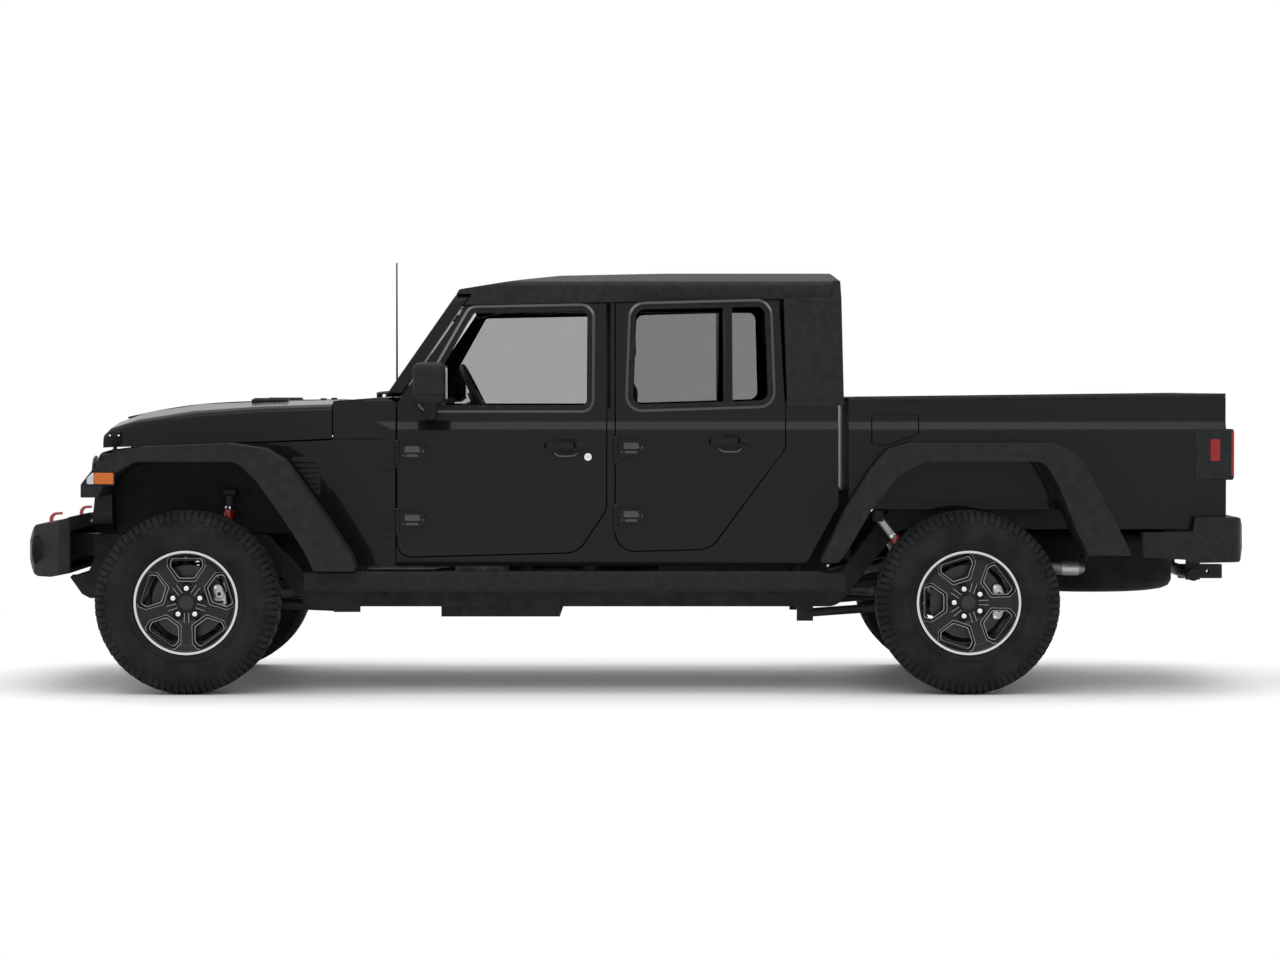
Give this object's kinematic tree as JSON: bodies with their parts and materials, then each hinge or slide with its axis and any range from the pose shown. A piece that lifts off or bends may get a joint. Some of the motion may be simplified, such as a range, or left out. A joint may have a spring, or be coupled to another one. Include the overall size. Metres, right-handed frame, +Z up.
{
  "type": "off-road pickup truck",
  "caption": "crew-cab off-road pickup with an open load bed, opening doors, bonnet and tailgate, steered front wheels and steel bumpers",
  "frame": {"origin": "on the ground, in the middle of the vehicle's length and width", "axes": "front towards -X, left side towards -Y, up is +Z"},
  "size_m": [5.5381, 2.072, 1.976],
  "materials": {
    "body_paint": "gloss",
    "bumper_paint": "matt textured",
    "frame_paint": "satin",
    "cast_metal": "rough",
    "spring_paint": "satin",
    "engine_metal": "rough",
    "exhaust_steel": "satin",
    "dark_plastic": "matt",
    "hard_top_plastic": "textured matt",
    "window_glass": "tinted",
    "clear_lens": "clear",
    "red_lens": "clear red",
    "red_paint": "gloss",
    "tyre_rubber": "matt",
    "wheel_paint": "satin with machined edges",
    "interior_plastic": "matt",
    "seat_fabric": "woven"
  },
  "bodies": {
    "vehicle": {"chassis_frame": "frame_paint", "tow_receiver": "frame_paint", "axles": "cast_metal", "suspension_links": "frame_paint", "springs_and_dampers": "spring_paint", "engine_and_radiator": "engine_metal", "gearbox_and_shafts": "engine_metal", "exhaust": "exhaust_steel", "fuel_tank": "dark_plastic", "spare_wheel": "tyre_rubber", "cab_floor": "body_paint", "cab_sides": "body_paint", "scuttle": "body_paint", "windscreen_frame": "body_paint", "roof_front_panel": "hard_top_plastic", "hard_top": "hard_top_plastic", "fixed_glass": "window_glass", "grille": "body_paint", "arch_mouldings": "dark_plastic", "front_wings": "body_paint", "load_bed": "body_paint", "tail_lamps": "red_lens", "bed_trim": "dark_plastic", "front_bumper": "bumper_paint", "tow_hooks": "red_paint", "rear_bumper": "bumper_paint", "sill_rails": "bumper_paint", "front_lamps": "clear_lens", "wipers_and_aerial": "dark_plastic", "dashboard": "interior_plastic", "seats": "seat_fabric", "roll_bar": "interior_plastic"},
    "wheel_fl": {"tyre_front_left": "tyre_rubber", "wheel_front_left": "wheel_paint"},
    "wheel_fr": {"tyre_front_right": "tyre_rubber", "wheel_front_right": "wheel_paint"},
    "wheel_rl": {"tyre_rear_left": "tyre_rubber", "wheel_rear_left": "wheel_paint"},
    "wheel_rr": {"tyre_rear_right": "tyre_rubber", "wheel_rear_right": "wheel_paint"},
    "knuckle_l": {"knuckle_left": "cast_metal"},
    "knuckle_r": {"knuckle_right": "cast_metal"},
    "steering_rod": {"tie_rod": "cast_metal"},
    "steering_column": {"steering_wheel": "interior_plastic"},
    "door_fl": {"door_front_left": "body_paint", "window_front_left": "window_glass", "mirror_left": "dark_plastic"},
    "door_fr": {"door_front_right": "body_paint", "window_front_right": "window_glass", "mirror_right": "dark_plastic"},
    "door_rl": {"door_rear_left": "body_paint", "window_rear_left": "window_glass"},
    "door_rr": {"door_rear_right": "body_paint", "window_rear_right": "window_glass"},
    "bonnet": {"bonnet": "body_paint"},
    "tailgate": {"tailgate": "body_paint"},
    "fuel_flap": {"fuel_flap": "body_paint"}
  },
  "joints": [
    {"name": "steer_left", "type": "hinge", "parent": "vehicle", "child": "knuckle_l", "pos_m": [-1.9895, -0.7, 0.41], "axis": [0, 0, 1], "range_deg": [-32, 32]},
    {"name": "steer_right", "type": "hinge", "parent": "vehicle", "child": "knuckle_r", "pos_m": [-1.9895, 0.7, 0.41], "axis": [0, 0, 1], "range_deg": [-32, 32]},
    {"name": "rod_slide", "type": "slide", "parent": "vehicle", "child": "steering_rod", "axis": [0, 1, 0], "range_m": [-0.068, 0.068]},
    {"name": "column_turn", "type": "hinge", "parent": "vehicle", "child": "steering_column", "pos_m": [-0.703, -0.37, 1.301], "axis": [0.8988, 0, 0.4384], "range_deg": [-480, 480]},
    {"name": "spin_fl", "type": "hinge", "parent": "knuckle_l", "child": "wheel_fl", "pos_m": [-1.9895, -0.8, 0.41], "axis": [0, 1, 0], "continuous": true},
    {"name": "spin_fr", "type": "hinge", "parent": "knuckle_r", "child": "wheel_fr", "pos_m": [-1.9895, 0.8, 0.41], "axis": [0, 1, 0], "continuous": true},
    {"name": "spin_rl", "type": "hinge", "parent": "vehicle", "child": "wheel_rl", "pos_m": [1.4975, -0.8, 0.41], "axis": [0, 1, 0], "continuous": true},
    {"name": "spin_rr", "type": "hinge", "parent": "vehicle", "child": "wheel_rr", "pos_m": [1.4975, 0.8, 0.41], "axis": [0, 1, 0], "continuous": true},
    {"name": "door_fl_hinge", "type": "hinge", "parent": "vehicle", "child": "door_fl", "pos_m": [-1.054, -0.811, 0.9], "axis": [0, 0, 1], "range_deg": [-68, 0]},
    {"name": "door_fr_hinge", "type": "hinge", "parent": "vehicle", "child": "door_fr", "pos_m": [-1.054, 0.811, 0.9], "axis": [0, 0, 1], "range_deg": [0, 68]},
    {"name": "door_rl_hinge", "type": "hinge", "parent": "vehicle", "child": "door_rl", "pos_m": [-0.075, -0.811, 0.9], "axis": [0, 0, 1], "range_deg": [-68, 0]},
    {"name": "door_rr_hinge", "type": "hinge", "parent": "vehicle", "child": "door_rr", "pos_m": [-0.075, 0.811, 0.9], "axis": [0, 0, 1], "range_deg": [0, 68]},
    {"name": "bonnet_hinge", "type": "hinge", "parent": "vehicle", "child": "bonnet", "pos_m": [-1.353, 0, 1.312], "axis": [0, 1, 0], "range_deg": [0, 50]},
    {"name": "tailgate_hinge", "type": "hinge", "parent": "vehicle", "child": "tailgate", "pos_m": [2.636, 0, 0.878], "axis": [0, 1, 0], "range_deg": [0, 88]},
    {"name": "flap_hinge", "type": "hinge", "parent": "vehicle", "child": "fuel_flap", "pos_m": [1.077, -0.802, 1.18], "axis": [0, 0, 1], "range_deg": [-85, 0]}
  ],
  "couplings": [
    {"joint": "steer_right", "follows": "steer_left", "ratio": 1},
    {"joint": "rod_slide", "follows": "steer_left", "m_per_rad": -0.12},
    {"joint": "column_turn", "follows": "steer_left", "ratio": 15}
  ]
}
